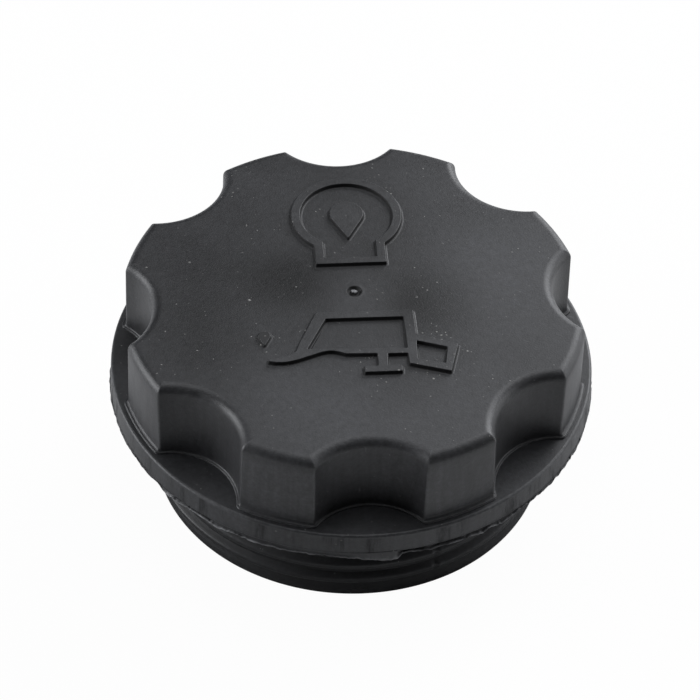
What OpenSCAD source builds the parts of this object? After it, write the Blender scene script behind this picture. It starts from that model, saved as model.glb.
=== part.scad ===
// Oil filler cap for an engine: a moulded screw cap with an eight-lobed hand
// grip, a round flange, a threaded spigot and a rubber sealing ring.
// The cap stands on the end of its spigot, with its axis on Z.

/* [Grip] */
// Height of the grip above the flange
grip_h = 15.1; // [12:0.1:22]
// Number of lobes, and of scallops between them
lobes = 8; // [6:1:10]
// How far the lobe faces stand in from the flange's edge, at their foot
lobe_inset = 2; // [1.6:0.1:3]
// How far the lobe faces lean in over the grip's height
lobe_taper = 0.25; // [0.1:0.05:1.5]
// Depth of a scallop behind the lobe faces, at its foot
scallop_depth = 5.45; // [3:0.05:6.5]
// Radius of a scallop where it meets the flange
scallop_r = 11.95; // [9:0.05:13]
// How much wider in radius a scallop is at the top face
scallop_flare = 0.4; // [0.2:0.1:1.5]
// Rounding of the grip's top edge
top_edge_r = 1.9; // [0.8:0.1:3]
// Height of the low plinth round the foot of the grip
plinth_h = 0.3; // [0.2:0.05:0.8]
// Width of the plinth in front of a lobe
plinth_lobe_w = 0.8; // [0.8:0.05:1]
// Width of the plinth in a scallop
plinth_scallop_w = 0.45; // [0.45:0.05:1]
// Rounding in the corner at the foot of a lobe
lobe_fillet_r = 0.75; // [0.3:0.05:0.75]
// Rounding in the corner at the foot of a scallop
scallop_fillet_r = 0.4; // [0.2:0.05:0.4]

/* [Flange] */
// Radius of the flange at its lower edge
flange_r = 43; // [41:0.1:50]
// How much smaller in radius the flange is at its upper edge
flange_taper = 0.2; // [0.1:0.05:0.3]
// Thickness of the flange
flange_h = 4.1; // [3:0.1:6]
// Rounding of the flange's upper edge
flange_edge_r = 0.5; // [0.2:0.05:0.7]

/* [Spigot] */
// Length of the spigot below the flange
spigot_len = 19.6; // [16:0.1:26]
// Radius over the thread crests
thread_r = 36; // [33:0.1:37]
// How much smaller in radius the plain neck is than the thread crests
neck_relief = 1.6; // [1:0.1:2.4]
// Length of plain neck left below the sealing ring
neck_gap = 2; // [1:0.1:4]
// Taper height between the neck and the thread
shoulder_h = 1; // [0.6:0.1:1.4]
// How much smaller in radius the spigot is at its lower edge
lead_in_w = 0.6; // [0.3:0.1:2]
// Height of the tapered lead-in at the lower edge
lead_in_h = 1; // [0.6:0.1:2.5]

/* [Inside] */
// Thickness of the spigot's wall at the neck
wall_t = 3; // [2:0.1:5]
// How much smaller in radius the hollow is under the roof than at its mouth
hollow_taper = 0.6; // [0.3:0.1:1.5]
// Chamfer at the spigot's mouth
mouth_chamfer = 0.7; // [0.3:0.1:1]
// Thickness of the roof under the top face
roof_t = 3.4; // [2.6:0.1:5]
// Rounding in the corner between the roof and the wall
roof_fillet_r = 3; // [1:0.1:5]
// Thickness of a stiffening rib
rib_t = 2; // [1.4:0.1:3]
// Depth of the stiffening ribs below the roof
rib_h = 5; // [3:0.1:6]
// Radius of the round boss where the ribs meet
boss_r = 6; // [4:0.1:9]
// Depth of the boss below the ribs
boss_drop = 1.5; // [0.5:0.1:4]

/* [Sealing ring] */
// Thickness of the sealing ring
ring_h = 3; // [2:0.1:4]
// Width of the sealing ring from inside to outside
ring_w = 4.3; // [3:0.1:5]
// Clearance between the sealing ring and the neck
ring_clearance = 0.1; // [0.05:0.05:0.3]
// Rounding of the sealing ring's outer edges
ring_edge_r = 0.6; // [0.2:0.1:0.9]

/* [Hidden] */
$fn = 128;
// Height of the flange's underside, of its upper face and of the cap's top
flange_z = spigot_len;
deck_z = flange_z + flange_h;
top_z = deck_z + grip_h;
// Height of the roof over the hollow
roof_z = top_z - roof_t;
// Height inside the flange from which the grip rises and the spigot hangs
root_z = flange_z + flange_h / 2;
// Height of the plinth's upper face, and its radius at the lobes
plinth_z = deck_z + plinth_h;
plinth_r = flange_r - lobe_inset + plinth_lobe_w;
// Radius of the circle on which the scallop centres lie
scallop_pitch_r = flange_r - lobe_inset - scallop_depth + scallop_r;
// Radius of the neck, and of the hollow at its mouth
neck_r = thread_r - neck_relief;
hollow_r = neck_r - wall_t;
// Leans of the lobe face, the scallop wall and the hollow's wall from upright
lobe_lean = atan(lobe_taper / grip_h);
scallop_lean = atan(scallop_flare / grip_h);
hollow_lean = atan(hollow_taper / roof_z);
// A little extra length for cuts that run out of the moulding
cut = 1;
// How far a round reaches past the wall that it blends into, so that they cross
tuck = 0.002;

// Radius at height z of the lobe faces, of a scallop and of the hollow's wall
function lobe_face(z) = flange_r - lobe_inset - (z - deck_z) * tan(lobe_lean);
function scallop_wall(z) = scallop_r + (z - deck_z) * tan(scallop_lean);
function hollow_wall(z) = hollow_r - z * tan(hollow_lean);

// Distance from a leaning wall to the centre of a round that blends into it
function blend(r, lean) = (r - tuck) / cos(lean);

// The half section of the grip on its plinth: a face that leans in, with a
// rounded top edge and a rounded corner at its foot
module grip_section() {
    round_z = top_z - top_edge_r;
    round_x = lobe_face(round_z) - blend(top_edge_r, lobe_lean);
    round_low_z = round_z + top_edge_r * sin(lobe_lean);
    foot_z = plinth_z + lobe_fillet_r;
    foot_x = lobe_face(foot_z) + blend(lobe_fillet_r, lobe_lean);
    polygon([
        [0, root_z],
        [plinth_r, root_z],
        [plinth_r, plinth_z],
        [lobe_face(plinth_z), plinth_z],
        [lobe_face(round_low_z), round_low_z],
        [round_x, round_z],
        [round_x, top_z],
        [0, top_z]
    ]);
    translate([round_x, round_z]) circle(top_edge_r);
    difference() {
        translate([foot_x - 2 * lobe_fillet_r, plinth_z])
            square([2 * lobe_fillet_r, lobe_fillet_r]);
        translate([foot_x, foot_z]) circle(lobe_fillet_r);
    }
}

// The half section of the round tool that cuts one scallop: a step at the
// plinth, a rounded corner, a cone, and a flare that rounds the top edge
module scallop_section() {
    step_r = scallop_r - plinth_scallop_w;
    foot_z = plinth_z + scallop_fillet_r;
    foot_x = scallop_wall(foot_z) - blend(scallop_fillet_r, scallop_lean);
    foot_top_z = foot_z - scallop_fillet_r * sin(scallop_lean);
    flare_z = top_z - top_edge_r;
    flare_x = scallop_wall(flare_z) + blend(top_edge_r, scallop_lean);
    flare_low_z = flare_z + top_edge_r * sin(scallop_lean);
    polygon([
        [0, root_z - cut],
        [step_r, root_z - cut],
        [step_r, plinth_z],
        [foot_x, plinth_z],
        [foot_x, foot_z],
        [scallop_wall(foot_top_z), foot_top_z],
        [scallop_wall(flare_low_z), flare_low_z],
        [scallop_wall(flare_low_z), top_z + cut],
        [0, top_z + cut]
    ]);
    translate([foot_x, foot_z]) circle(scallop_fillet_r);
    difference() {
        translate([flare_x - 2 * top_edge_r, flare_z])
            square([2 * top_edge_r, top_edge_r + cut / 2]);
        translate([flare_x, flare_z]) circle(top_edge_r);
    }
}

// The hand grip on its plinth, with its scallops
module grip() {
    difference() {
        rotate_extrude() grip_section();
        for (i = [0 : lobes - 1])
            rotate(i * 360 / lobes)
                translate([scallop_pitch_r, 0, 0])
                    rotate_extrude() scallop_section();
    }
}

// The flange's half section, with a rounded upper edge
module flange_section() {
    round_z = deck_z - flange_edge_r;
    round_x = flange_r - flange_taper - flange_edge_r;
    polygon([
        [0, flange_z],
        [flange_r, flange_z],
        [flange_r - flange_taper, round_z],
        [round_x, round_z],
        [round_x, deck_z],
        [0, deck_z]
    ]);
    translate([round_x, round_z]) circle(flange_edge_r);
}

// The spigot's half section: plain neck, shoulder, thread zone and lead-in
module spigot_section() {
    neck_z = flange_z - ring_h - neck_gap;
    polygon([
        [0, 0],
        [thread_r - lead_in_w, 0],
        [thread_r, lead_in_h],
        [thread_r, neck_z - shoulder_h],
        [neck_r, neck_z],
        [neck_r, root_z],
        [0, root_z]
    ]);
}

// The half section of the hollow, open at the spigot's mouth
module hollow_section() {
    fillet_z = roof_z - roof_fillet_r;
    fillet_x = hollow_wall(fillet_z) - blend(roof_fillet_r, hollow_lean);
    wall_top_z = fillet_z + roof_fillet_r * sin(hollow_lean);
    polygon([
        [0, -cut],
        [hollow_wall(mouth_chamfer) + mouth_chamfer + cut, -cut],
        [hollow_wall(mouth_chamfer), mouth_chamfer],
        [hollow_wall(wall_top_z), wall_top_z],
        [fillet_x, fillet_z],
        [fillet_x, roof_z],
        [0, roof_z]
    ]);
    translate([fillet_x, fillet_z]) circle(roof_fillet_r);
}

// The ribs and the boss that stiffen the roof from below
module stiffening() {
    for (i = [0 : lobes / 2 - 1])
        rotate((i + 0.5) * 360 / lobes)
            translate([-hollow_r - cut, -rib_t / 2, roof_z - rib_h])
                cube([2 * (hollow_r + cut), rib_t, rib_h + roof_t / 2]);
    translate([0, 0, roof_z - rib_h - boss_drop])
        cylinder(h = rib_h + boss_drop + roof_t / 2, r = boss_r);
}

// The whole moulding: grip, plinth, flange and hollow threaded spigot
module cap_moulding() {
    color([0.06, 0.06, 0.063]) {
        difference() {
            union() {
                grip();
                rotate_extrude() flange_section();
                rotate_extrude() spigot_section();
            }
            difference() {
                rotate(180 / lobes) rotate_extrude() hollow_section();
                stiffening();
            }
        }
    }
}

// The rubber ring round the neck, seated against the flange's underside
module sealing_ring() {
    ring_in = neck_r + ring_clearance;
    color([0.03, 0.03, 0.03])
        translate([0, 0, flange_z - ring_h])
            rotate_extrude() {
                translate([ring_in, 0]) square([ring_w - ring_edge_r, ring_h]);
                translate([ring_in, ring_edge_r]) square([ring_w, ring_h - 2 * ring_edge_r]);
                for (z = [ring_edge_r, ring_h - ring_edge_r])
                    translate([ring_in + ring_w - ring_edge_r, z]) circle(ring_edge_r);
            }
}

cap_moulding();
sealing_ring();
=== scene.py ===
import math

import bpy
import numpy as np
from mathutils import Matrix, Vector
from mathutils.geometry import tessellate_polygon


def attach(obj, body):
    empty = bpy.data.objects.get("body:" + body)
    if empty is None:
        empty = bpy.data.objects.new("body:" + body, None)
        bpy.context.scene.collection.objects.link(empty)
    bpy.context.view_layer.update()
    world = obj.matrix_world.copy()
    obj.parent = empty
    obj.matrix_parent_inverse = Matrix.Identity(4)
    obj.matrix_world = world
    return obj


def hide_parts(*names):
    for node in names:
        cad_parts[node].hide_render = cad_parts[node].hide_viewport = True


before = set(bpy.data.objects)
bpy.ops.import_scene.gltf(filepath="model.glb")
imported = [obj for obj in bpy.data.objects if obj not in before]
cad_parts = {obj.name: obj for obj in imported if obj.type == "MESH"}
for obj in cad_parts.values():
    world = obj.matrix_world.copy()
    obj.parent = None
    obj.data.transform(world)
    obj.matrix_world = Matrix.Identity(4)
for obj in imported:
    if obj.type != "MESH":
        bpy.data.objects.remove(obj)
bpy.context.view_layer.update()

# Studio
# The cap stands on the end of its spigot on a plain pale floor, and is seen from the front,
# 45 degrees above the flange, through a long lens.

MM = 0.001
FLANGE_Z = 19.6                     # height of the flange's underside, mm
FRAME_PX = 700                      # width and height of the frame, pixels
FOCAL_PX = 2905.9                   # focal length in pixels of that frame
SENSOR_W = 36                       # mm
CAMERA_DISTANCE = 520.7             # from the centre of the flange's underside, mm
CAMERA_ELEVATION = math.radians(45.38)
CAMERA_TURN = math.radians(-5.70)   # how far the view is turned round the cap's axis
CAMERA_ROLL = math.radians(2.0)
CENTRE_PX = (351.09, 372.33)        # where the centre of the flange's underside shows
FLOOR_COLOR = (0.85, 0.85, 0.85, 1)
FLOOR_WHITE = 0.97                  # share of plain white in the floor that the camera sees
ROOM_LIGHT = 0.01                   # strength of the room's light on the cap
LAMP_COLOR = (0.955, 0.97, 1.0)
LAMP_AIM = (0, 0, 0.02)


def make_camera():
    """Looks at the centre of the flange's underside from CAMERA_DISTANCE, then turns a little so that this
    centre shows at CENTRE_PX."""
    level = math.cos(CAMERA_ELEVATION)
    back = Vector((level * math.sin(CAMERA_TURN), -level * math.cos(CAMERA_TURN), math.sin(CAMERA_ELEVATION)))
    right = Vector((math.cos(CAMERA_TURN), math.sin(CAMERA_TURN), 0))
    up = back.cross(right)
    rolled_right = right * math.cos(CAMERA_ROLL) + up * math.sin(CAMERA_ROLL)
    rolled_up = up * math.cos(CAMERA_ROLL) - right * math.sin(CAMERA_ROLL)
    aim_x = (FRAME_PX / 2 - CENTRE_PX[0]) / FOCAL_PX
    aim_y = (CENTRE_PX[1] - FRAME_PX / 2) / FOCAL_PX
    aim_back = (back - rolled_right * aim_x - rolled_up * aim_y).normalized()
    aim_right = rolled_up.cross(aim_back).normalized()
    aim_up = aim_back.cross(aim_right)
    data = bpy.data.cameras.new("camera")
    data.sensor_width = SENSOR_W
    data.lens = FOCAL_PX / FRAME_PX * SENSOR_W
    data.clip_start = 0.01
    data.clip_end = 20
    camera = bpy.data.objects.new("camera", data)
    turned = Matrix((aim_right, aim_up, aim_back)).transposed().to_4x4()
    place = Vector((0, 0, FLANGE_Z * MM)) + back * CAMERA_DISTANCE * MM
    camera.matrix_world = Matrix.Translation(place) @ turned
    bpy.context.collection.objects.link(camera)
    bpy.context.scene.camera = camera


def make_lamp(name, place, size, power):
    """A square soft lamp at a place, with its side in metres and its power in watts, turned to LAMP_AIM."""
    data = bpy.data.lights.new(name, "AREA")
    data.shape = "SQUARE"
    data.size = size
    data.energy = power
    data.color = LAMP_COLOR
    lamp = bpy.data.objects.new(name, data)
    lamp.location = place
    lamp.rotation_mode = "QUATERNION"
    lamp.rotation_quaternion = (Vector(LAMP_AIM) - Vector(place)).to_track_quat("-Z", "Y")
    bpy.context.collection.objects.link(lamp)


def make_floor():
    """A wide pale disc that shows white to the camera and keeps a little of the cap's shadow."""
    bpy.ops.mesh.primitive_circle_add(vertices=96, radius=3.0, fill_type="NGON")
    floor = bpy.context.object
    floor.name = "floor"
    material = bpy.data.materials.new("pale_floor")
    material.use_nodes = True
    nodes, links = material.node_tree.nodes, material.node_tree.links
    surface = nodes["Principled BSDF"]
    surface.inputs["Base Color"].default_value = FLOOR_COLOR
    surface.inputs["Roughness"].default_value = 0.9
    surface.inputs["Specular IOR Level"].default_value = 0.1
    white = nodes.new("ShaderNodeEmission")
    white.inputs["Strength"].default_value = 1.0
    path = nodes.new("ShaderNodeLightPath")
    share = nodes.new("ShaderNodeMath")
    share.operation = "MULTIPLY"
    share.inputs[1].default_value = FLOOR_WHITE
    mix = nodes.new("ShaderNodeMixShader")
    links.new(path.outputs["Is Camera Ray"], share.inputs[0])
    links.new(share.outputs[0], mix.inputs["Fac"])
    links.new(surface.outputs[0], mix.inputs[1])
    links.new(white.outputs[0], mix.inputs[2])
    links.new(mix.outputs[0], nodes["Material Output"].inputs["Surface"])
    floor.data.materials.append(material)


def make_world():
    """White to the camera, and a dark room to the surfaces that mirror it."""
    world = bpy.data.worlds.new("room")
    bpy.context.scene.world = world
    world.use_nodes = True
    nodes, links = world.node_tree.nodes, world.node_tree.links
    room = nodes["Background"]
    room.inputs["Color"].default_value = (1, 1, 1, 1)
    room.inputs["Strength"].default_value = ROOM_LIGHT
    white = nodes.new("ShaderNodeBackground")
    white.inputs["Color"].default_value = (1, 1, 1, 1)
    white.inputs["Strength"].default_value = 1.0
    path = nodes.new("ShaderNodeLightPath")
    mix = nodes.new("ShaderNodeMixShader")
    links.new(path.outputs["Is Camera Ray"], mix.inputs["Fac"])
    links.new(room.outputs[0], mix.inputs[1])
    links.new(white.outputs[0], mix.inputs[2])
    links.new(mix.outputs[0], nodes["World Output"].inputs["Surface"])


make_camera()
make_floor()
make_world()
make_lamp("left_softbox", (-0.78, 0.10, 0.22), size=0.5, power=5.2)
make_lamp("right_softbox", (0.78, 0.05, 0.22), size=0.5, power=1.8)
make_lamp("back_softbox", (0.55, 0.60, 0.45), size=0.6, power=7.4)
make_lamp("top_softbox", (0.0, 0.20, 0.90), size=0.8, power=3.7)
bpy.context.scene.view_settings.view_transform = "Standard"


# Cap moulding
# One injection moulding in black plastic: scalloped grip, flange and hollow threaded spigot.
# It is moulded in a tool whose parting line runs round the flange's lower edge.

# Lengths are in millimetres
LOBES = 8
GRIP_H = 15.1
TOP_Z = 38.8
DECK_Z = TOP_Z - GRIP_H                 # upper face of the flange
FLANGE_R, FLANGE_TAPER, FLANGE_EDGE_R, FLANGE_LOW_EDGE_R = 43.0, 0.2, 0.5, 0.2
LOBE_FOOT_R, LOBE_TAPER = 41.0, 0.25
SCALLOP_R, SCALLOP_FLARE, SCALLOP_DEPTH = 11.95, 0.4, 5.45
SCALLOP_PITCH_R = LOBE_FOOT_R - SCALLOP_DEPTH + SCALLOP_R
CORNER_R, PLINTH_CORNER_R = 0.6, 1.1    # rounding of the upright corners, and of the plinth's
TOP_EDGE_R, LOBE_FILLET_R, SCALLOP_FILLET_R = 1.9, 0.75, 0.4
PLINTH_H, PLINTH_LOBE_W, PLINTH_SCALLOP_W, PLINTH_EDGE_R = 0.3, 0.8, 0.45, 0.13
NECK_R, NECK_LEN, CORE_R = 34.4, 5.0, 34.9
END_R = 35.4                            # plain rim at the spigot's end, below the thread
ROOF_Z, HOLLOW_R, HOLLOW_TAPER, ROOF_FILLET_R = 35.4, 31.4, 0.6, 3.0
RIB_T, RIB_H, BOSS_R, BOSS_DROP = 2.0, 5.0, 6.0, 1.5
GATE_X, GATE_Y, GATE_R = 0.15, 0.95, 1.5    # where the plastic was fed in, on the top face
# The gate mark from its middle out: radius, and height above the top face
GATE_STUB = ((0.12, 0.15), (0.3, 0.14), (0.42, 0.02), (0.5, -0.25))
GATE_DIMPLE = ((0.62, -0.42), (0.85, -0.48), (1.05, -0.42), (1.18, -0.2), (1.27, -0.05), (1.36, 0.03),
               (GATE_R, 0.03), (1.75, 0.0), (2.2, 0.0))
DIMPLE_SHADE_ROWS = slice(3, 10)               # from the stub's foot to the dimple's rim, painted with shade
# Rubbing and painted highlight, pale above 0 and painted shade below it, of each row down the plinth and down
# the flange's band
PLINTH_WEAR_AND_HIGHLIGHT = (0.05, 0.11, 0.16, 0.16, 0.12, 0.08, 0.03, 0)
BAND_WEAR_AND_HIGHLIGHT = (0.04, 0.08, 0.13, 0.14, 0.14, 0.11, 0.08, 0.05)
# Rubbing and a painted highlight along the top edge's rounding and the upright corners; the lobes' faces take
# the same paling
EDGE_WEAR_AND_HIGHLIGHT, TOP_CORNER_WEAR_AND_HIGHLIGHT = 0.06, 0.05
SPIGOT_SHADE = -0.5                     # painted shade darkens the spigot under the flange
STUB_WEAR, GATE_DIMPLE_SHADE = 1.0, -0.7       # the broken stub is pale, and painted shade darkens the dimple round it
# Columns of the mesh over half a scallop, a corner and half a lobe, and over half a rib's side and face
SCALLOP_STEPS, CORNER_STEPS, LOBE_STEPS = 14, 8, 8
RIB_SIDE_STEPS, RIB_FACE_STEPS = 4, 5


def new_object(name, points, faces, wear_and_light):
    """A smooth mesh object from points in millimetres and faces as lists of point numbers, with an attribute
    for each point's rubbing and painted light: pale rubbing and painted highlight up to 1, and painted shade
    down to -1."""
    mesh = bpy.data.meshes.new(name)
    mesh.from_pydata([tuple(p) for p in np.asarray(points) * MM], [], faces)
    mesh.polygons.foreach_set("use_smooth", [True] * len(mesh.polygons))
    worn_and_painted_light = mesh.attributes.new("wear_and_painted_light", "FLOAT", "POINT")
    worn_and_painted_light.data.foreach_set("value", np.asarray(wear_and_light, float))
    mesh.update()
    piece = bpy.data.objects.new(name, mesh)
    bpy.context.collection.objects.link(piece)
    return piece


def ring_faces(rows, columns, first=0):
    """The four-sided faces of a grid whose rows close on themselves, from point number first on."""
    row = first + np.arange(rows - 1)[:, None] * columns
    here = row + np.arange(columns)
    after = row + (np.arange(columns) + 1) % columns
    return np.stack([here, after, after + columns, here + columns], -1).reshape(-1, 4).tolist()


def fan_faces(columns, first, pole, outward):
    """The three-sided faces from one closed row to a single point."""
    here = first + np.arange(columns)
    after = first + (np.arange(columns) + 1) % columns
    side = [here, after] if outward else [after, here]
    return np.stack(side + [np.full(columns, pole)], -1).tolist()


def smooth_step(value):
    """0 below 0, 1 above 1, and a cubic with level ends between them."""
    value = np.clip(value, 0, 1)
    return value * value * (3 - 2 * value)


def arc(start, end, steps):
    """Angles from start to end degrees, in radians."""
    return np.radians(np.linspace(start, end, steps + 1))


def all_round(first):
    """Values from a scallop's middle to a lobe's middle, mirrored and repeated for all the lobes."""
    return np.tile(np.concatenate([first, first[-2:0:-1]]), LOBES)


def lobed_outline(lobe_r, scallop_r, corner_r):
    """Outlines of the grip, one for each value of the radii: arcs of lobe_r about the axis and of scallop_r
    about points on the pitch circle, joined by corner arcs that touch both. The outline runs from a scallop's
    middle to a lobe's middle, is mirrored, and is turned round to every lobe."""
    a, s, c = (np.atleast_1d(v)[:, None] for v in (lobe_r, scallop_r, corner_r))
    # Centre of the corner arc, and the directions in which it touches the scallop and the lobe
    x = ((a - c) ** 2 - (s + c) ** 2 + SCALLOP_PITCH_R ** 2) / (2 * SCALLOP_PITCH_R)
    y = np.sqrt((a - c) ** 2 - x ** 2)
    meet = np.arctan2(y, SCALLOP_PITCH_R - x)
    out = np.arctan2(y, x)
    turn = meet * np.linspace(0, 1, SCALLOP_STEPS + 1)[None, :-1]
    scallop = np.stack([SCALLOP_PITCH_R - s * np.cos(turn), s * np.sin(turn)], -1)
    turn = -meet + (out + meet) * np.linspace(0, 1, CORNER_STEPS + 1)[None, :-1]
    corner = np.stack([x + c * np.cos(turn), y + c * np.sin(turn)], -1)
    half = math.pi / LOBES
    turn = out + (half - out) * np.linspace(0, 1, LOBE_STEPS + 1)[None, :]
    lobe = np.stack([a * np.cos(turn), a * np.sin(turn)], -1)
    first = np.concatenate([scallop, corner, lobe], 1)
    mirror = np.array([[math.cos(2 * half), math.sin(2 * half)], [math.sin(2 * half), -math.cos(2 * half)]])
    second = (first @ mirror.T)[:, -2:0:-1]
    period = np.concatenate([first, second], 1)
    turns = 2 * half * np.arange(LOBES)
    cos, sin = np.cos(turns), np.sin(turns)
    spin = np.stack([np.stack([cos, -sin], -1), np.stack([sin, cos], -1)], 1)
    return np.einsum("kij,rnj->rkni", spin, period).reshape(len(period), -1, 2)


def grip_rows():
    """The grip from its top edge to the plinth's foot: at each height the lobed outline, moved in by the
    rounding of the top edge, then down the leaning walls, and out round the foot fillets and the plinth.
    Heights are mixed column by column, as the fillet at a lobe is larger than the one in a scallop. Returns
    the rows of points, and for each point its rubbing and painted highlight."""
    lobe_lean = math.atan(LOBE_TAPER / GRIP_H)
    scallop_lean = math.atan(SCALLOP_FLARE / GRIP_H)

    def lobe_face(z):
        return LOBE_FOOT_R - (z - DECK_Z) * math.tan(lobe_lean)

    def scallop_wall(z):
        return SCALLOP_R + (z - DECK_Z) * math.tan(scallop_lean)

    # Rounded top edge
    turn = arc(90, 2, 14)
    round_z = TOP_Z - TOP_EDGE_R
    z = round_z + TOP_EDGE_R * np.sin(turn)
    lobe = lobe_face(round_z) - TOP_EDGE_R / math.cos(lobe_lean) + TOP_EDGE_R * np.cos(turn)
    scallop = scallop_wall(round_z) + TOP_EDGE_R / math.cos(scallop_lean) - TOP_EDGE_R * np.cos(turn)
    corner = np.maximum(CORNER_R - TOP_EDGE_R * (1 - np.cos(turn)) * 0.4, 0.3)
    # Leaning walls
    plinth_z = DECK_Z + PLINTH_H
    lobe_foot_z = plinth_z + LOBE_FILLET_R
    scallop_foot_z = plinth_z + SCALLOP_FILLET_R
    share = np.linspace(0, 1, 10)[1:]
    wall_lobe_z = z[-1] + (lobe_foot_z - z[-1]) * share
    wall_scallop_z = z[-1] + (scallop_foot_z - z[-1]) * share
    # Foot fillets
    foot = arc(5, 90, 7)
    out = 1 / math.cos(lobe_lean) - np.cos(foot)
    foot_lobe = lobe_face(lobe_foot_z) + LOBE_FILLET_R * out
    out = 1 / math.cos(scallop_lean) - np.cos(foot)
    foot_scallop = scallop_wall(scallop_foot_z) - SCALLOP_FILLET_R * out
    foot_corner = CORNER_R + (PLINTH_CORNER_R - 0.2 - CORNER_R) * (1 - np.cos(foot))
    # Plinth's rounded edge and wall
    edge = arc(90, 0, 5)
    step_z = np.append(plinth_z - PLINTH_EDGE_R * (1 - np.sin(edge)), [DECK_Z + 0.01, DECK_Z])
    out = np.append(PLINTH_EDGE_R * (np.cos(edge) - 1), [0, 0.005])
    step_lobe = LOBE_FOOT_R + PLINTH_LOBE_W + out
    step_scallop = SCALLOP_R - PLINTH_SCALLOP_W - out
    # All rows together
    walls, feet, steps = len(share), len(foot), len(step_z)
    lobe_z = np.concatenate([z, wall_lobe_z, lobe_foot_z - LOBE_FILLET_R * np.sin(foot), step_z])
    foot_z = scallop_foot_z - SCALLOP_FILLET_R * np.sin(foot)
    scallop_z = np.concatenate([z, wall_scallop_z, foot_z, step_z])
    lobe_r = np.concatenate([lobe, lobe_face(wall_lobe_z), foot_lobe, step_lobe])
    scallop_r = np.concatenate([scallop, scallop_wall(wall_scallop_z), foot_scallop, step_scallop])
    plinth_corner = np.full(steps, PLINTH_CORNER_R)
    corner_r = np.concatenate([corner, np.full(walls, CORNER_R), foot_corner, plinth_corner])
    outline = lobed_outline(lobe_r, scallop_r, corner_r)
    corner_share = smooth_step(np.arange(CORNER_STEPS) / CORNER_STEPS)
    on_lobe = all_round(np.concatenate([np.zeros(SCALLOP_STEPS), corner_share, np.ones(LOBE_STEPS + 1)]))
    height = scallop_z[:, None] * (1 - on_lobe) + lobe_z[:, None] * on_lobe
    # Rubbing with a painted highlight on the top edge, the plinth and the upright corners, and rubbing of the
    # lobes' faces
    on_corner = 4 * on_lobe * (1 - on_lobe)
    wall_wear_and_light, none = np.full(walls, EDGE_WEAR_AND_HIGHLIGHT), np.zeros(feet + steps)
    row_wear_and_light = np.concatenate([EDGE_WEAR_AND_HIGHLIGHT * np.sin(2 * turn), np.zeros(walls + feet), PLINTH_WEAR_AND_HIGHLIGHT])
    corner_wear_and_light = np.concatenate([np.full(len(turn), TOP_CORNER_WEAR_AND_HIGHLIGHT), wall_wear_and_light, none])
    face_wear = np.concatenate([np.zeros(len(turn)), wall_wear_and_light, none])
    wear_and_light = row_wear_and_light[:, None] + corner_wear_and_light[:, None] * on_corner + face_wear[:, None] * on_lobe
    return np.concatenate([outline, height[..., None]], -1), wear_and_light


def round_rows(profile, angles):
    """Circles of the given radii and heights, with their points at the given angles."""
    r, z = np.asarray(profile, float).T
    return np.stack([r[:, None] * np.cos(angles), r[:, None] * np.sin(angles),
                     np.broadcast_to(z[:, None], (len(r), len(angles)))], -1)


def outside_profile():
    """Radius and height from the flange's upper edge, down its band and back along its underside to the neck,
    then down the neck and the thread's core to the spigot's end, and in over its chamfer."""
    top_r = FLANGE_R - FLANGE_TAPER
    round_r, round_z = top_r - FLANGE_EDGE_R, DECK_Z - FLANGE_EDGE_R
    points = [(round_r - 0.06, DECK_Z)]
    points += [(round_r + FLANGE_EDGE_R * math.cos(t), round_z + FLANGE_EDGE_R * math.sin(t))
               for t in arc(90, 2, 7)]
    points += [(top_r + FLANGE_TAPER * share, round_z - share * (round_z - FLANGE_Z))
               for share in (0.05, 0.2, 0.4, 0.6, 0.8, 0.93)]
    low_r, low_z = FLANGE_R - FLANGE_LOW_EDGE_R, FLANGE_Z + FLANGE_LOW_EDGE_R
    points += [(low_r + FLANGE_LOW_EDGE_R * math.cos(t), low_z + FLANGE_LOW_EDGE_R * math.sin(t))
               for t in arc(0, -90, 4)]
    # Underside, neck and the thread's core
    neck_z = FLANGE_Z - NECK_LEN
    points += [(42.7, FLANGE_Z), (38, FLANGE_Z), (34.9, FLANGE_Z), (34.5, FLANGE_Z - 0.1)]
    points += [(NECK_R, FLANGE_Z - 0.4), (NECK_R, FLANGE_Z - 2.5), (NECK_R, neck_z)]
    points += [(CORE_R - 0.1, neck_z - 0.5), (CORE_R, neck_z - 0.7)]
    points += [(CORE_R, z) for z in np.linspace(neck_z - 1.5, 2.9, 7)]
    # Plain rim, the spigot's end, and the chamfer of its mouth
    points += [(CORE_R + 0.05, 2.4), (END_R - 0.12, 1.75), (END_R, 1.3), (END_R, 0.5), (END_R - 0.04, 0.25)]
    points += [(END_R - 0.12, 0.09), (END_R - 0.3, 0), (34.4, 0), (33.2, 0), (32.3, 0), (32.12, 0.05)]
    points += [(31.55, 0.6), (31.42, 0.75), (31.38, 0.95)]
    return points


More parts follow.
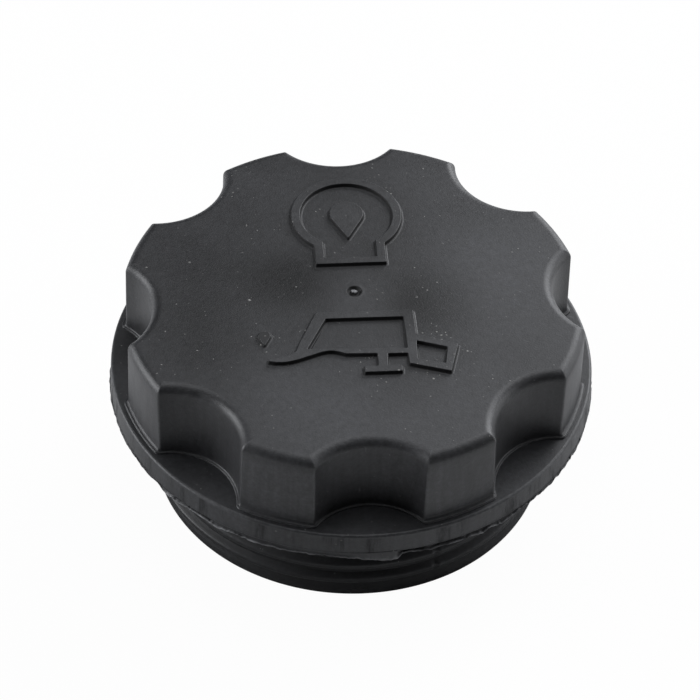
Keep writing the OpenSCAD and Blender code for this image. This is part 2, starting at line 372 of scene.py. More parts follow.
def inside_rows(angles):
    """The hollow from the mouth up to the roof's centre. Each row is mixed, column by column, from a plain
    section that follows wall, fillet and roof, and a rib section that turns in below the rib's lower edge."""
    def wall(z):
        return HOLLOW_R - z * HOLLOW_TAPER / ROOF_Z

    rib_z = ROOF_Z - RIB_H
    boss_z = rib_z - BOSS_DROP
    fillet_x, fillet_z = wall(ROOF_Z - ROOF_FILLET_R) - ROOF_FILLET_R, ROOF_Z - ROOF_FILLET_R
    inward = (27.2, 24, 20, 16, 12, 9, 7)
    boss = [(BOSS_R, boss_z + 0.4), (BOSS_R - 0.1, boss_z + 0.12), (BOSS_R - 0.35, boss_z), (5, boss_z),
            (3, boss_z)]
    common = [(wall(z), z) for z in np.linspace(3, rib_z - 0.5, 8)]
    plain = [(wall(rib_z + 0.3), rib_z + 0.3), (wall(rib_z + 1.2), rib_z + 1.2)]
    plain += [(fillet_x + ROOF_FILLET_R * math.cos(t), fillet_z + ROOF_FILLET_R * math.sin(t))
              for t in arc(2, 90, 8)]
    plain += [(r, ROOF_Z) for r in inward]
    plain += [(BOSS_R + 0.5, ROOF_Z), (BOSS_R + 0.15, ROOF_Z - 0.15), (BOSS_R, ROOF_Z - 0.5), (BOSS_R, rib_z)]
    rib = [(wall(rib_z - 0.25), rib_z - 0.25), (wall(rib_z) - 0.12, rib_z - 0.06)]
    rib += [(r, rib_z) for r in np.linspace(wall(rib_z) - 0.5, 27.6, 9)]
    rib += [(r, rib_z) for r in inward]
    rib += [(BOSS_R + 0.5, rib_z), (BOSS_R + 0.15, rib_z - 0.08), (BOSS_R, rib_z - 0.25),
            (BOSS_R, rib_z - 0.7)]
    plain_r, plain_z = np.array(common + plain + boss).T[:, :, None]
    rib_r, rib_row_z = np.array(common + rib + boss).T[:, :, None]
    # How much of the rib is in each column, and the columns' distance from the rib's middle plane: across its
    # lower face, down its side, and from there evenly to the middle between two ribs
    half_count = SCALLOP_STEPS + CORNER_STEPS + LOBE_STEPS
    step = np.arange(half_count + 1)
    plain_count = half_count - RIB_SIDE_STEPS - RIB_FACE_STEPS
    share = smooth_step((step - plain_count) / RIB_SIDE_STEPS)
    across = RIB_T / 2 * 0.92 * (half_count - step) / RIB_FACE_STEPS
    side = RIB_T / 2 * (1.12 - 0.2 * share)
    half_angle = math.pi / LOBES
    radius = plain_r * (1 - share) + rib_r * share
    plain_side = side + (half_angle * radius - side) * (1 - np.clip(step / plain_count, 0, 1))
    offset = np.where(step >= half_count - RIB_FACE_STEPS, across, np.where(share > 0, side, plain_side))
    angle = half_angle - offset / radius
    # The rows below the ribs go over from the outside's angles to these
    rows = np.arange(len(radius))[:, None]
    fade = np.clip(rows / (len(common) - 1), 0, 1)
    even = np.abs(angles[:half_count + 1])[None, :]
    angle = np.where(rows < len(common), even * (1 - fade) + angle * fade, angle)
    height = plain_z * (1 - share) + rib_row_z * share
    first = np.stack([angle, radius, height], -1)
    second = first[:, -2:0:-1] * [-1, 1, 1] + [2 * half_angle, 0, 0]
    period = np.concatenate([first, second], 1)
    turned = np.concatenate([period + [2 * half_angle * k, 0, 0] for k in range(LOBES)], 1)
    angle, radius, height = np.moveaxis(turned, -1, 0)
    return np.stack([radius * np.cos(angle), radius * np.sin(angle), height], -1)


def top_rows(rim, angles):
    """The top face from its centre to the rim: round rows over the gate mark, a dimple with a stub of broken
    plastic in it, then rows that grow from a circle about the mark into the lobed outline of the rim."""
    centre = np.array([GATE_X, GATE_Y, 0])
    mark = round_rows([(r, TOP_Z + z) for r, z in GATE_STUB + GATE_DIMPLE], angles) + centre
    # The stub is torn, not round
    tear = 1 + 0.22 * np.cos(2 * angles + 0.6) + 0.12 * np.cos(5 * angles)
    stub = mark[:len(GATE_STUB), :, :2]
    stub[:] = centre[:2] + (stub - centre[:2]) * tear[None, :, None]
    circle = np.stack([np.cos(angles), np.sin(angles), np.zeros(len(angles))], -1)
    flat = rim * [1, 1, 0]
    mean_r = 38     # of the lobed rim, mm
    rows = []
    for f in (0.12, 0.3, 0.55, 0.8, 0.95, 0.994):
        lobed = smooth_step((f - 0.1) / 0.6)
        round_row = circle * mean_r * f + centre * (1 - f)
        rows.append(round_row * (1 - lobed) + flat * f * lobed + [0, 0, TOP_Z])
    return np.concatenate([mark, rows])


def make_moulding():
    """Rows of points from the gate mark over the whole outside and inside to the roof's centre, with a point
    at either end."""
    grip, grip_wear_and_light = grip_rows()
    angles = np.unwrap(np.arctan2(grip[-1, :, 1], grip[-1, :, 0]))
    top = top_rows(grip[0], angles)
    outside = round_rows(outside_profile(), angles)
    deck = np.stack([grip[-1] * (1 - f) + outside[0] * f for f in (0.004, 0.04, 0.5)])
    inside = inside_rows(angles)
    rows = np.concatenate([top, grip, deck, outside, inside])
    count, columns = rows.shape[:2]
    # Each point's value: the stub is pale; the dimple and the spigot carry painted shade; the grip and the
    # flange's edge carry rubbing and painted highlights
    wear_and_light = np.zeros((count, columns))
    wear_and_light[:DIMPLE_SHADE_ROWS.start] = STUB_WEAR
    wear_and_light[DIMPLE_SHADE_ROWS] = GATE_DIMPLE_SHADE
    wear_and_light[len(top):len(top) + len(grip)] = grip_wear_and_light
    outside_wear_and_light = wear_and_light[len(top) + len(grip) + len(deck):][:len(outside)]
    outside_wear_and_light[1:1 + len(BAND_WEAR_AND_HIGHLIGHT)] = np.array(BAND_WEAR_AND_HIGHLIGHT)[:, None]
    outside_wear_and_light[outside[..., 2] < FLANGE_Z - 0.05] = SPIGOT_SHADE
    ends = [[GATE_X, GATE_Y, TOP_Z + 0.16], [0, 0, inside[-1, 0, 2]]]
    points = np.concatenate([rows.reshape(-1, 3), ends])
    faces = [f[::-1] for f in ring_faces(count, columns)]
    faces += fan_faces(columns, 0, count * columns, True)
    faces += fan_faces(columns, (count - 1) * columns, count * columns + 1, False)
    return new_object("cap_body", points, faces, np.append(wear_and_light.ravel(), [STUB_WEAR, 0]))


def add_node(tree, kind, values=None, **settings):
    """Adds a node of a kind. Its values, by number or name of the input, are constants or other nodes'
    outputs."""
    node = tree.nodes.new(kind)
    for key, value in settings.items():
        setattr(node, key, value)
    for key, value in (values or {}).items():
        if isinstance(value, bpy.types.NodeSocket):
            tree.links.new(value, node.inputs[key])
        else:
            node.inputs[key].default_value = value
    return node


def calc(tree, operation, *terms):
    """The output of one arithmetic node. It is kept within 0 and 1 where the operation starts with a plus."""
    node = add_node(tree, "ShaderNodeMath", dict(enumerate(terms)), operation=operation.lstrip("+"),
                    use_clamp=operation.startswith("+"))
    return node.outputs[0]


def vector(tree, operation, place, other):
    """The output of one vector node. The other term is a number where the operation is SCALE."""
    term = 3 if operation == "SCALE" else 1
    node = add_node(tree, "ShaderNodeVectorMath", {0: place, term: other}, operation=operation)
    return node.outputs["Value" if operation == "DISTANCE" else "Vector"]


def noise(tree, place, scale, detail, roughness=0.5):
    """A noise value around 0.5, in clouds of a size of one through the scale."""
    values = {"Vector": place, "Scale": scale, "Detail": detail, "Roughness": roughness}
    return add_node(tree, "ShaderNodeTexNoise", values).outputs["Fac"]


def mixed(tree, share, first, second):
    """The first colour, mixed towards the second by a share."""
    node = add_node(tree, "ShaderNodeMix", {"Factor": share, 6: first, 7: second}, data_type="RGBA")
    return node.outputs[2]


def ramp_up(tree, value, start, end, top=1.0):
    """0 where the value is at start, top where it is at end, and smooth between them."""
    values = {"Value": value, "From Min": start, "From Max": end, "To Max": top}
    return add_node(tree, "ShaderNodeMapRange", values, interpolation_type="SMOOTHSTEP").outputs[0]


def new_group(name, output, **inputs):
    """A shader node group of one number, with a place and numbers as inputs. Returns its tree, its inputs'
    sockets and its output's."""
    tree = bpy.data.node_groups.new(name, "ShaderNodeTree")
    tree.interface.new_socket("Place", in_out="INPUT", socket_type="NodeSocketVector")
    for socket, value in inputs.items():
        tree.interface.new_socket(socket, in_out="INPUT", socket_type="NodeSocketFloat").default_value = value
    tree.interface.new_socket(output, in_out="OUTPUT", socket_type="NodeSocketFloat")
    given = tree.nodes.new("NodeGroupInput").outputs
    return tree, given, tree.nodes.new("NodeGroupOutput").inputs[output]


def make_millimetres():
    """Object coordinates in millimetres."""
    tree = bpy.data.node_groups.new("millimetres", "ShaderNodeTree")
    tree.interface.new_socket("Place", in_out="OUTPUT", socket_type="NodeSocketVector")
    place = add_node(tree, "ShaderNodeTexCoord").outputs["Object"]
    tree.links.new(vector(tree, "SCALE", place, 1 / MM), tree.nodes.new("NodeGroupOutput").inputs[0])
    return tree


def make_grain():
    """Spark-eroded grain of the mould: fine noise with a few larger dimples, as a height from 0 to 1."""
    tree, given, height = new_group("spark_grain", "Height", Size=0.2)
    scale = calc(tree, "DIVIDE", 1.0, given["Size"])
    fine = noise(tree, given["Place"], scale, 2.0)
    wide = noise(tree, given["Place"], calc(tree, "MULTIPLY", scale, 0.22), 1.0)
    tree.links.new(calc(tree, "ADD", fine, calc(tree, "MULTIPLY", wide, 0.6)), height)
    return tree


def make_specks():
    """Pale specks of dust and nicks: a cell pattern of the given spacing, moved about by noise, where a share
    of the cells has a dot of up to the given radius."""
    tree, given, mask = new_group("specks", "Mask", Spacing=3.0, Radius=0.2, Share=0.3)
    place, spacing = given["Place"], given["Spacing"]
    wobble = add_node(tree, "ShaderNodeTexNoise", {"Vector": place, "Scale": 3.0, "Detail": 1.0})
    moved = vector(tree, "ADD", place, vector(tree, "SCALE", wobble.outputs["Color"], 0.35))
    values = {"Vector": moved, "Scale": calc(tree, "DIVIDE", 1.0, spacing)}
    cells = add_node(tree, "ShaderNodeTexVoronoi", values)
    lot = add_node(tree, "ShaderNodeSeparateColor", {0: cells.outputs["Color"]}).outputs
    size = calc(tree, "MULTIPLY", calc(tree, "MULTIPLY_ADD", lot[1], 0.6, 0.4), given["Radius"])
    distance = calc(tree, "MULTIPLY", cells.outputs["Distance"], spacing)
    inside = calc(tree, "+SUBTRACT", 1.6, calc(tree, "DIVIDE", distance, calc(tree, "MULTIPLY", size, 0.75)))
    chosen = calc(tree, "LESS_THAN", lot[0], given["Share"])
    strength = calc(tree, "MULTIPLY_ADD", lot[2], 0.7, 0.3)
    tree.links.new(calc(tree, "MULTIPLY", calc(tree, "MULTIPLY", inside, chosen), strength), mask)
    return tree


def make_rubs():
    """Short fine scratches that run one way: cells that are squeezed across their length, where a share of
    them has a stroke."""
    tree, given, mask = new_group("rubs", "Mask", Turn=0.0, Share=0.2)
    turned = add_node(tree, "ShaderNodeVectorRotate", {"Vector": given["Place"], "Angle": given["Turn"]},
                      rotation_type="Z_AXIS").outputs[0]
    squeezed = vector(tree, "MULTIPLY", turned, (0.16, 1.0, 0.16))
    cells = add_node(tree, "ShaderNodeTexVoronoi", {"Vector": squeezed, "Scale": 0.8})
    lot = add_node(tree, "ShaderNodeSeparateColor", {0: cells.outputs["Color"]}).outputs
    near = calc(tree, "+MULTIPLY_ADD", cells.outputs["Distance"], -9.0, 1.0)
    chosen = calc(tree, "LESS_THAN", lot[0], given["Share"])
    tree.links.new(calc(tree, "MULTIPLY", near, chosen), mask)
    return tree


millimetres = make_millimetres()
spark_grain = make_grain()
specks = make_specks()
rubs = make_rubs()


def use_group(tree, group, **values):
    """The output of a node that holds the group, with its inputs filled by name."""
    return add_node(tree, "ShaderNodeGroup", values, node_tree=group).outputs[0]


BLACK = (0.020, 0.0204, 0.0222, 1)      # the plastic's own colour
PALE_WEAR_AND_HIGHLIGHT = (0.24, 0.242, 0.25, 1)           # where an edge is rubbed or torn, and where a highlight is painted
DUST = (0.30, 0.295, 0.28, 1)
# Broad soft patches of painted sheen and painted shade on the top face: place, radius, mm, and strength
SHEEN_PATCHES = ((-11.5, 4, 6, -0.6), (-21, 2, 14, -0.4), (12.6, -2.6, 7, -0.9), (29, 5, 11, 1.1),
           (21, -14, 9, 0.35), (-7, -29, 11, 0.55), (18, -31, 9, 0.6), (2, -1, 5, 0.3), (-4, 34, 9, -0.25),
           (-30, -16, 9, -0.2))


def sheen_patch_sum(tree, flat):
    """The sum of all painted sheen patches: each fades from its strength to nothing at twice its radius."""
    total = 0.0
    for x, y, radius, strength in SHEEN_PATCHES:
        away = vector(tree, "DISTANCE", flat, (x, y, 0))
        total = calc(tree, "ADD", ramp_up(tree, away, 2.0 * radius, 0.0, strength), total)
    return total


# Where crumbs are caught beside the signs: a circle's place and radius, and how far they spread from it, mm
CRUMBS = ((0.12, 20.1, 10.2, 1.6), (12.6, -15.4, 5.6, 2.6), (-16.2, -10.5, 2.0, 2.2), (3.6, -17.6, 3.4, 1.8))


def crumbs_sum(tree, flat):
    """How many of the crumbs lie at a place: all at each radius of CRUMBS, none beyond the spread."""
    total = 0.0
    for x, y, radius, spread in CRUMBS:
        away = vector(tree, "DISTANCE", flat, (x, y, 0))
        off = calc(tree, "ABSOLUTE", calc(tree, "SUBTRACT", away, radius))
        near = calc(tree, "+SUBTRACT", 1.0, calc(tree, "DIVIDE", off, spread))
        total = calc(tree, "+ADD", near, total)
    return total


def black_plastic(name):
    """Satin black plastic. Its colour is black, mixed to the pale grey of rubbing and painted highlight where
    it is rubbed, scratched or painted with highlights, times a shade that clouds, painted sheen patches,
    speckle, streaks, painted shade and smudges each change, then mixed to DUST under specks. Its roughness is
    a base plus a share of the clouds with the painted sheen, speckle, smudges, grain, dust and painted shade."""
    material = bpy.data.materials.new(name)
    material.use_nodes = True
    tree = material.node_tree
    surface = tree.nodes["Principled BSDF"]
    place = use_group(tree, millimetres)
    height = add_node(tree, "ShaderNodeSeparateXYZ", {0: place}).outputs["Z"]
    flat = vector(tree, "MULTIPLY", place, (1, 1, 0))
    drawn_out = vector(tree, "MULTIPLY", place, (1.0, 1.0, 0.12))
    normal = add_node(tree, "ShaderNodeNewGeometry").outputs["Normal"]
    facing_up = add_node(tree, "ShaderNodeSeparateXYZ", {0: normal}).outputs["Z"]
    on_top = ramp_up(tree, facing_up, 0.5, 0.95)
    on_wall = calc(tree, "+SUBTRACT", 1.0, ramp_up(tree, facing_up, 0.1, 0.5))
    on_band = calc(tree, "MULTIPLY", ramp_up(tree, height, 19.5, 19.9),
                   calc(tree, "+SUBTRACT", 1.0, ramp_up(tree, height, 23.0, 23.5)))
    # The point attribute: rubbing and painted highlights above 0, painted shade below 0, which darkens and
    # roughens
    edge = add_node(tree, "ShaderNodeAttribute", attribute_name="wear_and_painted_light").outputs["Fac"]
    painted_shade = calc(tree, "+MULTIPLY", edge, -1.0)
    # Dust has settled in patches, most of it on what faces up, and crumbs are caught beside the signs
    large = use_group(tree, specks, Place=place, Spacing=2.6, Radius=0.25, Share=0.5)
    small = use_group(tree, specks, Place=place, Spacing=1.0, Radius=0.17, Share=0.4)
    lying = calc(tree, "MULTIPLY_ADD", ramp_up(tree, facing_up, 0.1, 0.8), 0.65, 0.35)
    settled = calc(tree, "MULTIPLY", lying, ramp_up(tree, noise(tree, place, 0.22, 2.0), 0.42, 0.62))
    dust = calc(tree, "MULTIPLY", calc(tree, "+MAXIMUM", large, calc(tree, "MULTIPLY", small, 0.75)), settled)
    crumbs = use_group(tree, specks, Place=place, Spacing=0.8, Radius=0.2, Share=0.3)
    caught = calc(tree, "MULTIPLY", crumbs_sum(tree, flat), on_top)
    dust = calc(tree, "+MULTIPLY_ADD", calc(tree, "MULTIPLY", crumbs, caught), 1.5, dust)
    # Rubbed edges and painted highlights, broken up by noise, and scratches that run two ways
    rubbed_and_highlit = calc(tree, "+MULTIPLY", edge, calc(tree, "+MULTIPLY", noise(tree, place, 0.6, 3.0), 1.6))
    along = use_group(tree, rubs, Place=place, Turn=0.5, Share=0.10)
    across = use_group(tree, rubs, Place=place, Turn=-0.9, Share=0.08)
    scratch = calc(tree, "MULTIPLY", calc(tree, "+ADD", along, across), 0.2)
    worn_and_painted_light = calc(tree, "+MAXIMUM", rubbed_and_highlit, scratch)
    # Shade: clouds and painted sheen patches, speckle, streaks down the walls, painted shade, and smudges on
    # the flange's band
    painted_sheen = calc(tree, "MULTIPLY", sheen_patch_sum(tree, flat), on_top)
    clouds = calc(tree, "SUBTRACT", noise(tree, place, 0.045, 2.0), 0.5)
    clouds_and_sheen = calc(tree, "MULTIPLY_ADD", clouds, 1.6, painted_sheen)
    shade = calc(tree, "MULTIPLY", calc(tree, "+MULTIPLY_ADD", clouds_and_sheen, 0.5, 0.5), 2.0)
    speckle = noise(tree, place, 1.3, 3.0, 0.7)
    shade = calc(tree, "MULTIPLY", shade, calc(tree, "MULTIPLY_ADD", speckle, 1.6, 0.2))
    streaks = calc(tree, "MULTIPLY_ADD", noise(tree, drawn_out, 0.8, 3.0, 0.6), 1.4, -0.7)
    shade = calc(tree, "MULTIPLY_ADD", calc(tree, "MULTIPLY", streaks, on_wall), shade, shade)
    shade = calc(tree, "MULTIPLY", shade, calc(tree, "+SUBTRACT", 1.0, painted_shade))
    smudges = ramp_up(tree, noise(tree, drawn_out, 0.3, 5.0, 0.75), 0.48, 0.68)
    smudged = calc(tree, "MULTIPLY", on_band, smudges)
    shade = calc(tree, "MULTIPLY", shade, calc(tree, "MULTIPLY_ADD", smudged, -0.6, 1.0))
    shaded = vector(tree, "SCALE", mixed(tree, worn_and_painted_light, BLACK, PALE_WEAR_AND_HIGHLIGHT), shade)
    tree.links.new(mixed(tree, dust, shaded, DUST), surface.inputs["Base Color"])
    # Gloss
    grain = use_group(tree, spark_grain, Place=place, Size=0.3)
    rough = calc(tree, "MULTIPLY_ADD", clouds_and_sheen, 0.10, 0.36)
    rough = calc(tree, "MULTIPLY_ADD", speckle, 0.08, rough)
    rough = calc(tree, "MULTIPLY_ADD", smudged, 0.3, rough)
    rough = calc(tree, "MULTIPLY_ADD", grain, 0.06, rough)
    rough = calc(tree, "+MULTIPLY_ADD", calc(tree, "ADD", dust, painted_shade), 0.35, rough)
    tree.links.new(rough, surface.inputs["Roughness"])
    # Relief
    relief = calc(tree, "MULTIPLY_ADD", dust, 2.0, grain)
    bump = add_node(tree, "ShaderNodeBump", {"Strength": 0.5, "Distance": 0.06 * MM, "Height": relief})
    tree.links.new(bump.outputs[0], surface.inputs["Normal"])
    return material


plastic = black_plastic("cap_plastic")
body = make_moulding()
body.data.materials.append(plastic)
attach(body, "root")
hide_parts("cap_moulding")


# Thread
# A right-handed rounded ridge round the spigot, moulded in one with it. A line of the mould crosses it
# at the front and nicks each turn.

PITCH = 3.55
THREAD_LOW_Z, THREAD_HIGH_Z = 1.85, 13.35   # heights of the ridge's middle where it starts and ends
THREAD_Z_AT_LINE = 4.55                     # height of the ridge's middle where the mould's line crosses it
MOULD_LINE = math.radians(-69.3)
TURN_STEPS = 600


def make_thread():
    """A ridge profile carried along the helix z = PITCH x turns. Its height is scaled to nothing over the
    first and last twelfth of a turn, dips at the mould's line, and has a burr beside the dip."""
    half = np.array([1.42, 1.18, 0.86, 0.62, 0.46, 0.30, 0.12])
    half_lift = np.array([-0.25, 0.02, 0.50, 0.86, 1.02, 1.09, 1.10])
    rise = np.concatenate([half, -half[::-1]])
    lift = np.concatenate([half_lift, half_lift[::-1]])
    turns = np.arange(THREAD_LOW_Z, THREAD_HIGH_Z, PITCH / TURN_STEPS) / PITCH
    angle = MOULD_LINE + (turns - THREAD_Z_AT_LINE / PITCH) * 2 * math.pi
    ends = smooth_step((turns - turns[0]) * 12) * smooth_step((turns[-1] - turns) * 12)
    off_line = (np.degrees(angle - MOULD_LINE) + 180) % 360 - 180
    dip = 1 - 0.4 * np.exp(-(off_line / 0.45) ** 2) + 0.12 * np.exp(-((off_line - 1.1) / 0.5) ** 2)
    scale = (ends * dip)[:, None]
    radius = CORE_R + np.where(lift > 0, lift * scale, lift)
    z = turns[:, None] * PITCH + rise * (0.35 + 0.65 * ends[:, None])
    points = np.stack([radius * np.cos(angle)[:, None], radius * np.sin(angle)[:, None], z], -1)
    rows, columns = z.shape
    faces = ring_faces(rows, columns)
    faces += [list(range(columns))[::-1], list(range((rows - 1) * columns, rows * columns))]
    # Painted shade over the whole ridge, lifted by a painted highlight along the crest's upper shoulder
    wear_and_light = SPIGOT_SHADE + 0.5 * np.exp(-((rise - 0.42) / 0.14) ** 2) * ends[:, None]
    return new_object("spigot_thread", points.reshape(-1, 3), faces, wear_and_light.ravel())


thread = make_thread()
thread.data.materials.append(plastic)
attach(thread, "root")


# Signs
# Two service signs stand up from the top face, moulded with it: an engine's filler with a drop of oil, and
# an oil can that pours.

SIGN_H = 0.74
# How far each row of a sign's side lies inside its outline, and its height above the top face
# The rows just above the top face reach out past the outline as a thin skirt that carries the painted shadow
SIGN_SIDE = ((0.0, -0.25), (-0.45, -0.03), (-0.40, 0.005), (-0.24, 0.010), (-0.12, 0.05), (-0.07, 0.18),
             (-0.01, SIGN_H - 0.12), (0.03, SIGN_H - 0.04), (0.10, SIGN_H))
# The value of each row but the last, the top's rim: painted shade darkens the sign's sides, and a painted
# shadow lies on the skirt at its foot
SIGN_SIDE_SHADE = (0, 0, 0, -0.4, -0.85, -0.9, -0.7, -0.15)
SHARP_TURN = 25     # corners that turn by more degrees than this are rounded


def rounded(points, radius, steps=4):
    """The closed outline, with each corner that turns by more than SHARP_TURN cut back by the radius and
    bridged by a parabola's arc."""
    points = np.asarray(points, float)
    before, after = np.roll(points, 1, 0), np.roll(points, -1, 0)
    made = []
    for a, p, b in zip(before, points, after):
        to_a, to_b = a - p, b - p
        len_a, len_b = np.hypot(*to_a), np.hypot(*to_b)
        turn = math.acos(np.clip(-(to_a @ to_b) / (len_a * len_b), -1, 1))
        if math.degrees(turn) < SHARP_TURN:
            made.append(p)
            continue
        start = p + to_a / len_a * min(radius, len_a * 0.4)
        end = p + to_b / len_b * min(radius, len_b * 0.4)
        for t in np.linspace(0, 1, steps + 1):
            made.append(start * (1 - t) ** 2 + p * 2 * t * (1 - t) + end * t * t)
    return np.array(made)


def moved_in(points, distance):
    """A closed outline moved to its left by a distance, along each corner's bisector. Very sharp corners
    move less."""
    ahead = np.roll(points, -1, 0) - points
    ahead /= np.hypot(*ahead.T)[:, None]
    left = np.stack([-ahead[:, 1], ahead[:, 0]], -1)
    left_before = np.roll(left, 1, 0)
    both = left + left_before
    return points + distance * both / np.maximum(1 + (left * left_before).sum(1), 0.35)[:, None]


def filled(points, loops, upward):
    """Triangles over the flat area between closed loops of point numbers, facing up or down."""
    triangles = tessellate_polygon([[Vector(points[i]) for i in loop] for loop in loops])
    numbers = np.concatenate(loops)[np.array(triangles)]
    a, b, c = np.moveaxis(np.array(points)[numbers][..., :2], 1, 0)
    faces_up = np.cross(b - a, c - a) > 0
    return np.where((faces_up == upward)[:, None], numbers, numbers[:, ::-1]).tolist()


def raised(name, outlines, top_rim_wear_and_shade=0.03, height_share=1.0):
    """A flat-topped raised shape. Outlines run counterclockwise round the shape and clockwise round its
    holes, so that the material is on their left. Each is repeated in the rows of SIGN_SIDE, with their
    heights times height_share, and the top and the hidden bottom are filled."""
    points, faces, wear_and_light, feet, rims = [], [], [], [], []
    for outline in outlines:
        first, columns = len(points), len(outline)
        for (inset, height), worn_and_painted_light in zip(SIGN_SIDE, SIGN_SIDE_SHADE + (top_rim_wear_and_shade,)):
            row = moved_in(outline, inset)
            points += [(x, y, TOP_Z + height * height_share) for x, y in row]
            wear_and_light += [worn_and_painted_light] * columns
        faces += ring_faces(len(SIGN_SIDE), columns, first)
        feet.append(np.arange(first, first + columns))
        rims.append(feet[-1] + (len(SIGN_SIDE) - 1) * columns)
    sides = len(faces)
    faces += filled(points, rims, True) + filled(points, feet, False)
    sign = new_object(name, points, faces, wear_and_light)
    sign.data.polygons.foreach_set("use_smooth", [i < sides for i in range(len(faces))])
    sign.data.materials.append(plastic)
    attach(sign, "root")


def curve_through(points, steps=6):
    """Points of a smooth curve through the given ones: Catmull-Rom, with the ends repeated."""
    p = np.asarray(points, float)
    p = np.concatenate([p[:1], p, p[-1:]])
    t = np.linspace(0, 1, steps + 1)[:-1, None]
    made = []
    for a, b, c, d in zip(p, p[1:], p[2:], p[3:]):
        square, cube = 2 * a - 5 * b + 4 * c - d, 3 * b - a - 3 * c + d
        made.append(0.5 * (2 * b + (c - a) * t + square * t * t + cube * t ** 3))
    return np.concatenate(made + [p[-1:]])


def engine_sign():
    """A ring that opens downwards into two legs on a base bar. The ring's arcs meet the legs' sides."""
    x, y, outer_r, inner_r = 0.12, 20.1, 9.9, 8.3
    leg_out, leg_in, bar_low, bar_high = 6.25, 4.68, 7.45, 8.95
    out = math.degrees(math.asin(leg_out / outer_r))
    inn = math.degrees(math.asin(leg_in / inner_r))
    turn = arc(-90 + out, 270 - out, 60)
    ring_out = np.stack([x + outer_r * np.cos(turn), y + outer_r * np.sin(turn)], -1)
    turn = arc(270 - inn, -90 + inn, 56)
    ring_in = np.stack([x + inner_r * np.cos(turn), y + inner_r * np.sin(turn)], -1)
    outside = [(x - leg_out, bar_low), (x + leg_out, bar_low)] + ring_out.tolist()
    inside = [(x + leg_in, bar_high), (x - leg_in, bar_high)] + ring_in.tolist()
    return [rounded(outside, 0.22), rounded(inside, 0.22)]


def drop_outline():
    """A round head with its two tangents to the tip."""
    x, y, head_r, tip = 0.17, 20.5, 3.05, 6.45
    side = math.degrees(math.acos(head_r / tip))
    turn = arc(-90 + side, 270 - side, 32)
    head = np.stack([x + head_r * np.cos(turn), y + head_r * np.sin(turn)], -1)
    return [rounded([(x - 0.1, y - tip)] + head.tolist(), 0.3)]


def can_sign():
    """The can's body with its pouring spout, the foot on its stem, and the grip at its back. The two openings
    are the body's inside and the grip's."""
    spout = curve_through([(-15.0, -16.38), (-14.4, -16.5), (-12.75, -16.5), (-10.75, -16.02), (-8.3, -15.1),
                           (-6.3, -14.35), (-4.8, -14.2), (-3.6, -14.5), (-2.4, -15.02)])
    under = [(2.93, -15.2), (2.85, -18.15), (0.42, -18.15), (0.42, -19.58), (6.88, -19.58), (6.88, -18.15),
             (4.5, -18.15), (4.68, -15.3), (8.15, -15.35)]
    grip = [(8.22, -17.8), (15.15, -20.02), (16.95, -13.55), (9.95, -10.8)]
    over = [(9.9, -4.8), (-7.0, -4.72), (-10.35, -12.3)]
    spout_back = curve_through([(-10.9, -13.9), (-12.3, -15.0), (-14.0, -15.5), (-15.0, -15.62)])
    tip = [(-15.8, -15.66), (-15.8, -16.15)]
    outside = spout.tolist() + under + grip + over + spout_back.tolist() + tip
    body_hole = [(-5.4, -6.36), (8.13, -6.44), (8.18, -14.08), (-9.0, -13.58)]
    grip_hole = [(9.85, -12.42), (15.05, -14.22), (14.35, -18.05), (9.72, -16.85)]
    return [rounded(outside, 0.22), rounded(body_hole, 0.2), rounded(grip_hole, 0.2)]


def drip_outline():
    """A small fat drip under the spout's end."""
    return [rounded([(-16.2, -12.2), (-15.05, -9.9), (-15.35, -8.8), (-16.85, -8.8), (-17.4, -9.9)], 0.3)]


raised("sign_engine", engine_sign())
raised("sign_drop", drop_outline())
raised("sign_can", can_sign())
# The drip stands lower, and painted shade darkens its top
raised("sign_drip", drip_outline(), -0.6, 0.7)


# Flash
# A thin fin of plastic that squeezed out of the mould at its parting line. It hangs ragged from the flange's
# lower edge and is torn away in places.

FLASH_COLUMNS = 1800
# Part angle in degrees and how far the fin hangs below the flange there, mm, where it is torn at the front
FLASH_TEARS = ((-142, 0.85), (-136, 0.6), (-133, 0.45), (-130, 0.5), (-128.6, 0.6), (-126, 1.0),
               (-122, 0.65), (-117.5, 0.95), (-113, 0.68), (-109, 0.78), (-105, 0.72), (-101, 0.58),
               (-97, 0.64), (-94.3, 0.8), (-90, 1.38), (-86.6, 1.75), (-83.7, 1.72), (-82.6, 0.4),
               (-80.9, 0.28), (-78.6, 0.6), (-76, 0.78), (-73.8, 0.52), (-71.4, 0.74), (-66.3, 0.72),
               (-63.7, 0.88), (-62.6, 1.2), (-61.5, 0.5), (-60.4, 0.66), (-58, 1.1), (-55, 0.7))
# Part angle and how much the fin is hollowed behind the flange's edge there, from 0 to 1, which also sets the
# painted shade in the hollow
FLASH_GAPS = ((-180, 0.3), (-150, 0.6), (-141, 0.3), (-134, 1), (-129, 1), (-126, 0.2), (-118, 0.4),
              (-108, 0.2), (-90, 0.0), (-84, 0.0), (-82.5, 1), (-79, 1), (-76, 0.5), (-74, 1), (-70, 1),
              (-67.5, 0.4), (-66, 1), (-60, 0.6), (-50, 0.4), (0, 0.3), (90, 0.3), (180, 0.3))
# The fin's section, down its outer side, over the tip and up its inner side: share of the drop, of the flare
# and of the hollow, then its painted highlight, pale about the tip, and its painted shade in the hollow
FLASH_SECTION = ((-0.3, -0.05, 0, 0, 0), (0.0, 0.05, 0.7, 0, -0.9), (0.4, 0.15, 1, 0, -1),
                 (0.72, 0.45, 0.8, 0.3, -0.9), (0.9, 0.95, 0.2, 0.75, 0), (1.0, 1.0, 0, 0.8, 0),
                 (1.06, 0.8, 0, 0.5, 0), (0.9, 0.1, 0.5, 0, 0), (0.5, -0.9, 1, 0, 0), (-0.2, -2.0, 1, 0, 0))


def ragged(angles, spacing, seed):
    """A random line of mean 0 and spread 1 round the circle: values every so many degrees, joined
    straight."""
    count = int(360 / spacing)
    values = np.random.default_rng(seed).normal(0, 1, count)
    places = np.arange(count + 1) * 360 / count
    return np.interp(np.degrees(angles) % 360, places, np.append(values, values[0]))


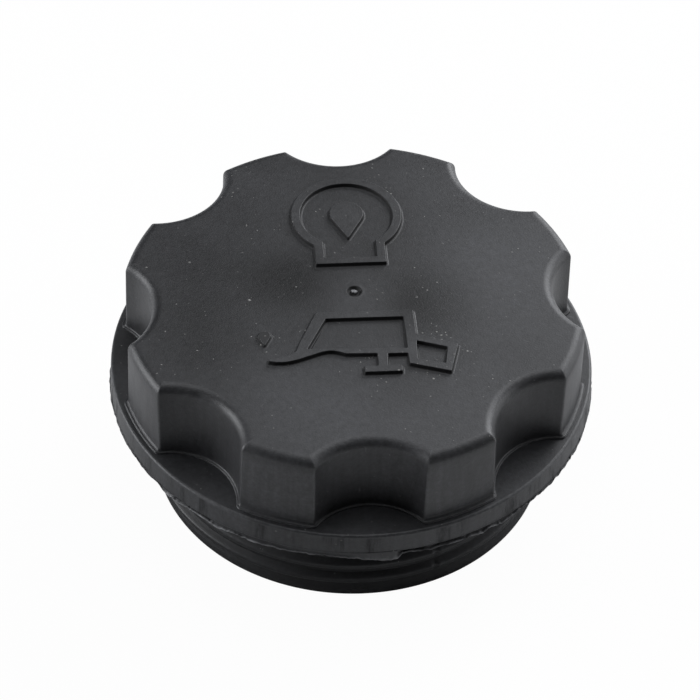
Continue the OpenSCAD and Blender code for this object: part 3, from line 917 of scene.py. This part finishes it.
def make_flash():
    """FLASH_SECTION carried round the flange's lower edge: the tip hangs by the torn line, drop, and the fin
    waves in and out by flare. At the back the line is random, with a few places torn away. Its tip is painted
    pale as a highlight, and its hollow painted dark as shade."""
    angles = np.arange(FLASH_COLUMNS) / FLASH_COLUMNS * 2 * math.pi - math.pi
    degrees = np.degrees(angles)
    at, hang = np.array(FLASH_TEARS).T
    front = smooth_step((degrees - at[0] + 3) / 3) * smooth_step((at[-1] + 3 - degrees) / 3)
    drop = 0.45 + 0.10 * ragged(angles, 6, 3) + 0.08 * ragged(angles, 1.5, 4)
    drop = drop * (1 - front) + np.interp(degrees, at, hang) * front
    drop = drop + 0.07 * ragged(angles, 0.6, 5)
    torn = ragged(angles, 2.2, 6) * (1 - front) > 1.5
    drop = np.maximum(np.where(torn, 0.1, drop), -0.05)
    at, depth = np.array(FLASH_GAPS).T
    gap = np.interp(degrees, at, depth)
    flare = 0.16 + 0.06 * front + 0.04 * ragged(angles, 5, 7) + 0.04 * ragged(angles, 1.1, 8)
    share, out, hollow, pale, painted_shade_share = np.array(FLASH_SECTION).T[:, :, None]
    z = FLANGE_Z - np.where(share > 0, share * drop, share)
    radius = FLANGE_R + out * flare - hollow * gap * 0.5
    points = np.stack([radius * np.cos(angles), radius * np.sin(angles), z], -1)
    count = len(share) * FLASH_COLUMNS
    faces = [[i % count for i in f[::-1]] for f in ring_faces(len(share) + 1, FLASH_COLUMNS)]
    patchy = np.clip(0.7 + 0.3 * ragged(angles, 2.5, 9), 0.15, 1) * (0.12 + 0.88 * front)
    return new_object("parting_flash", points.reshape(-1, 3), faces, (pale * patchy + painted_shade_share * gap).ravel())


flash = make_flash()
flash.data.materials.append(plastic)
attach(flash, "root")


# Sealing ring
# A flat ring of black rubber, stretched over the neck and pushed up against the flange's underside.

RUBBER = (0.018, 0.018, 0.0185, 1)
BLOOM = (0.030, 0.030, 0.031, 1)        # pale film on old rubber


def ring_rubber(name):
    """Dull black rubber: a fine matt grain, faint clouds of bloom in its colour and gloss, and a little
    dust."""
    material = bpy.data.materials.new(name)
    material.use_nodes = True
    tree = material.node_tree
    surface = tree.nodes["Principled BSDF"]
    surface.inputs["Specular IOR Level"].default_value = 0.35
    place = use_group(tree, millimetres)
    clouds = noise(tree, place, 0.25, 3.0)
    bloomed = mixed(tree, ramp_up(tree, clouds, 0.45, 0.75), RUBBER, BLOOM)
    dust = use_group(tree, specks, Place=place, Spacing=2.5, Radius=0.15, Share=0.2)
    tree.links.new(mixed(tree, dust, bloomed, DUST), surface.inputs["Base Color"])
    tree.links.new(calc(tree, "MULTIPLY_ADD", clouds, 0.15, 0.62), surface.inputs["Roughness"])
    grain = use_group(tree, spark_grain, Place=place, Size=0.12)
    bump = add_node(tree, "ShaderNodeBump", {"Strength": 0.3, "Distance": 0.02 * MM, "Height": grain})
    tree.links.new(bump.outputs[0], surface.inputs["Normal"])
    return material


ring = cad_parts["sealing_ring"]
ring.data.materials.clear()
ring.data.materials.append(ring_rubber("seal_rubber_skin"))
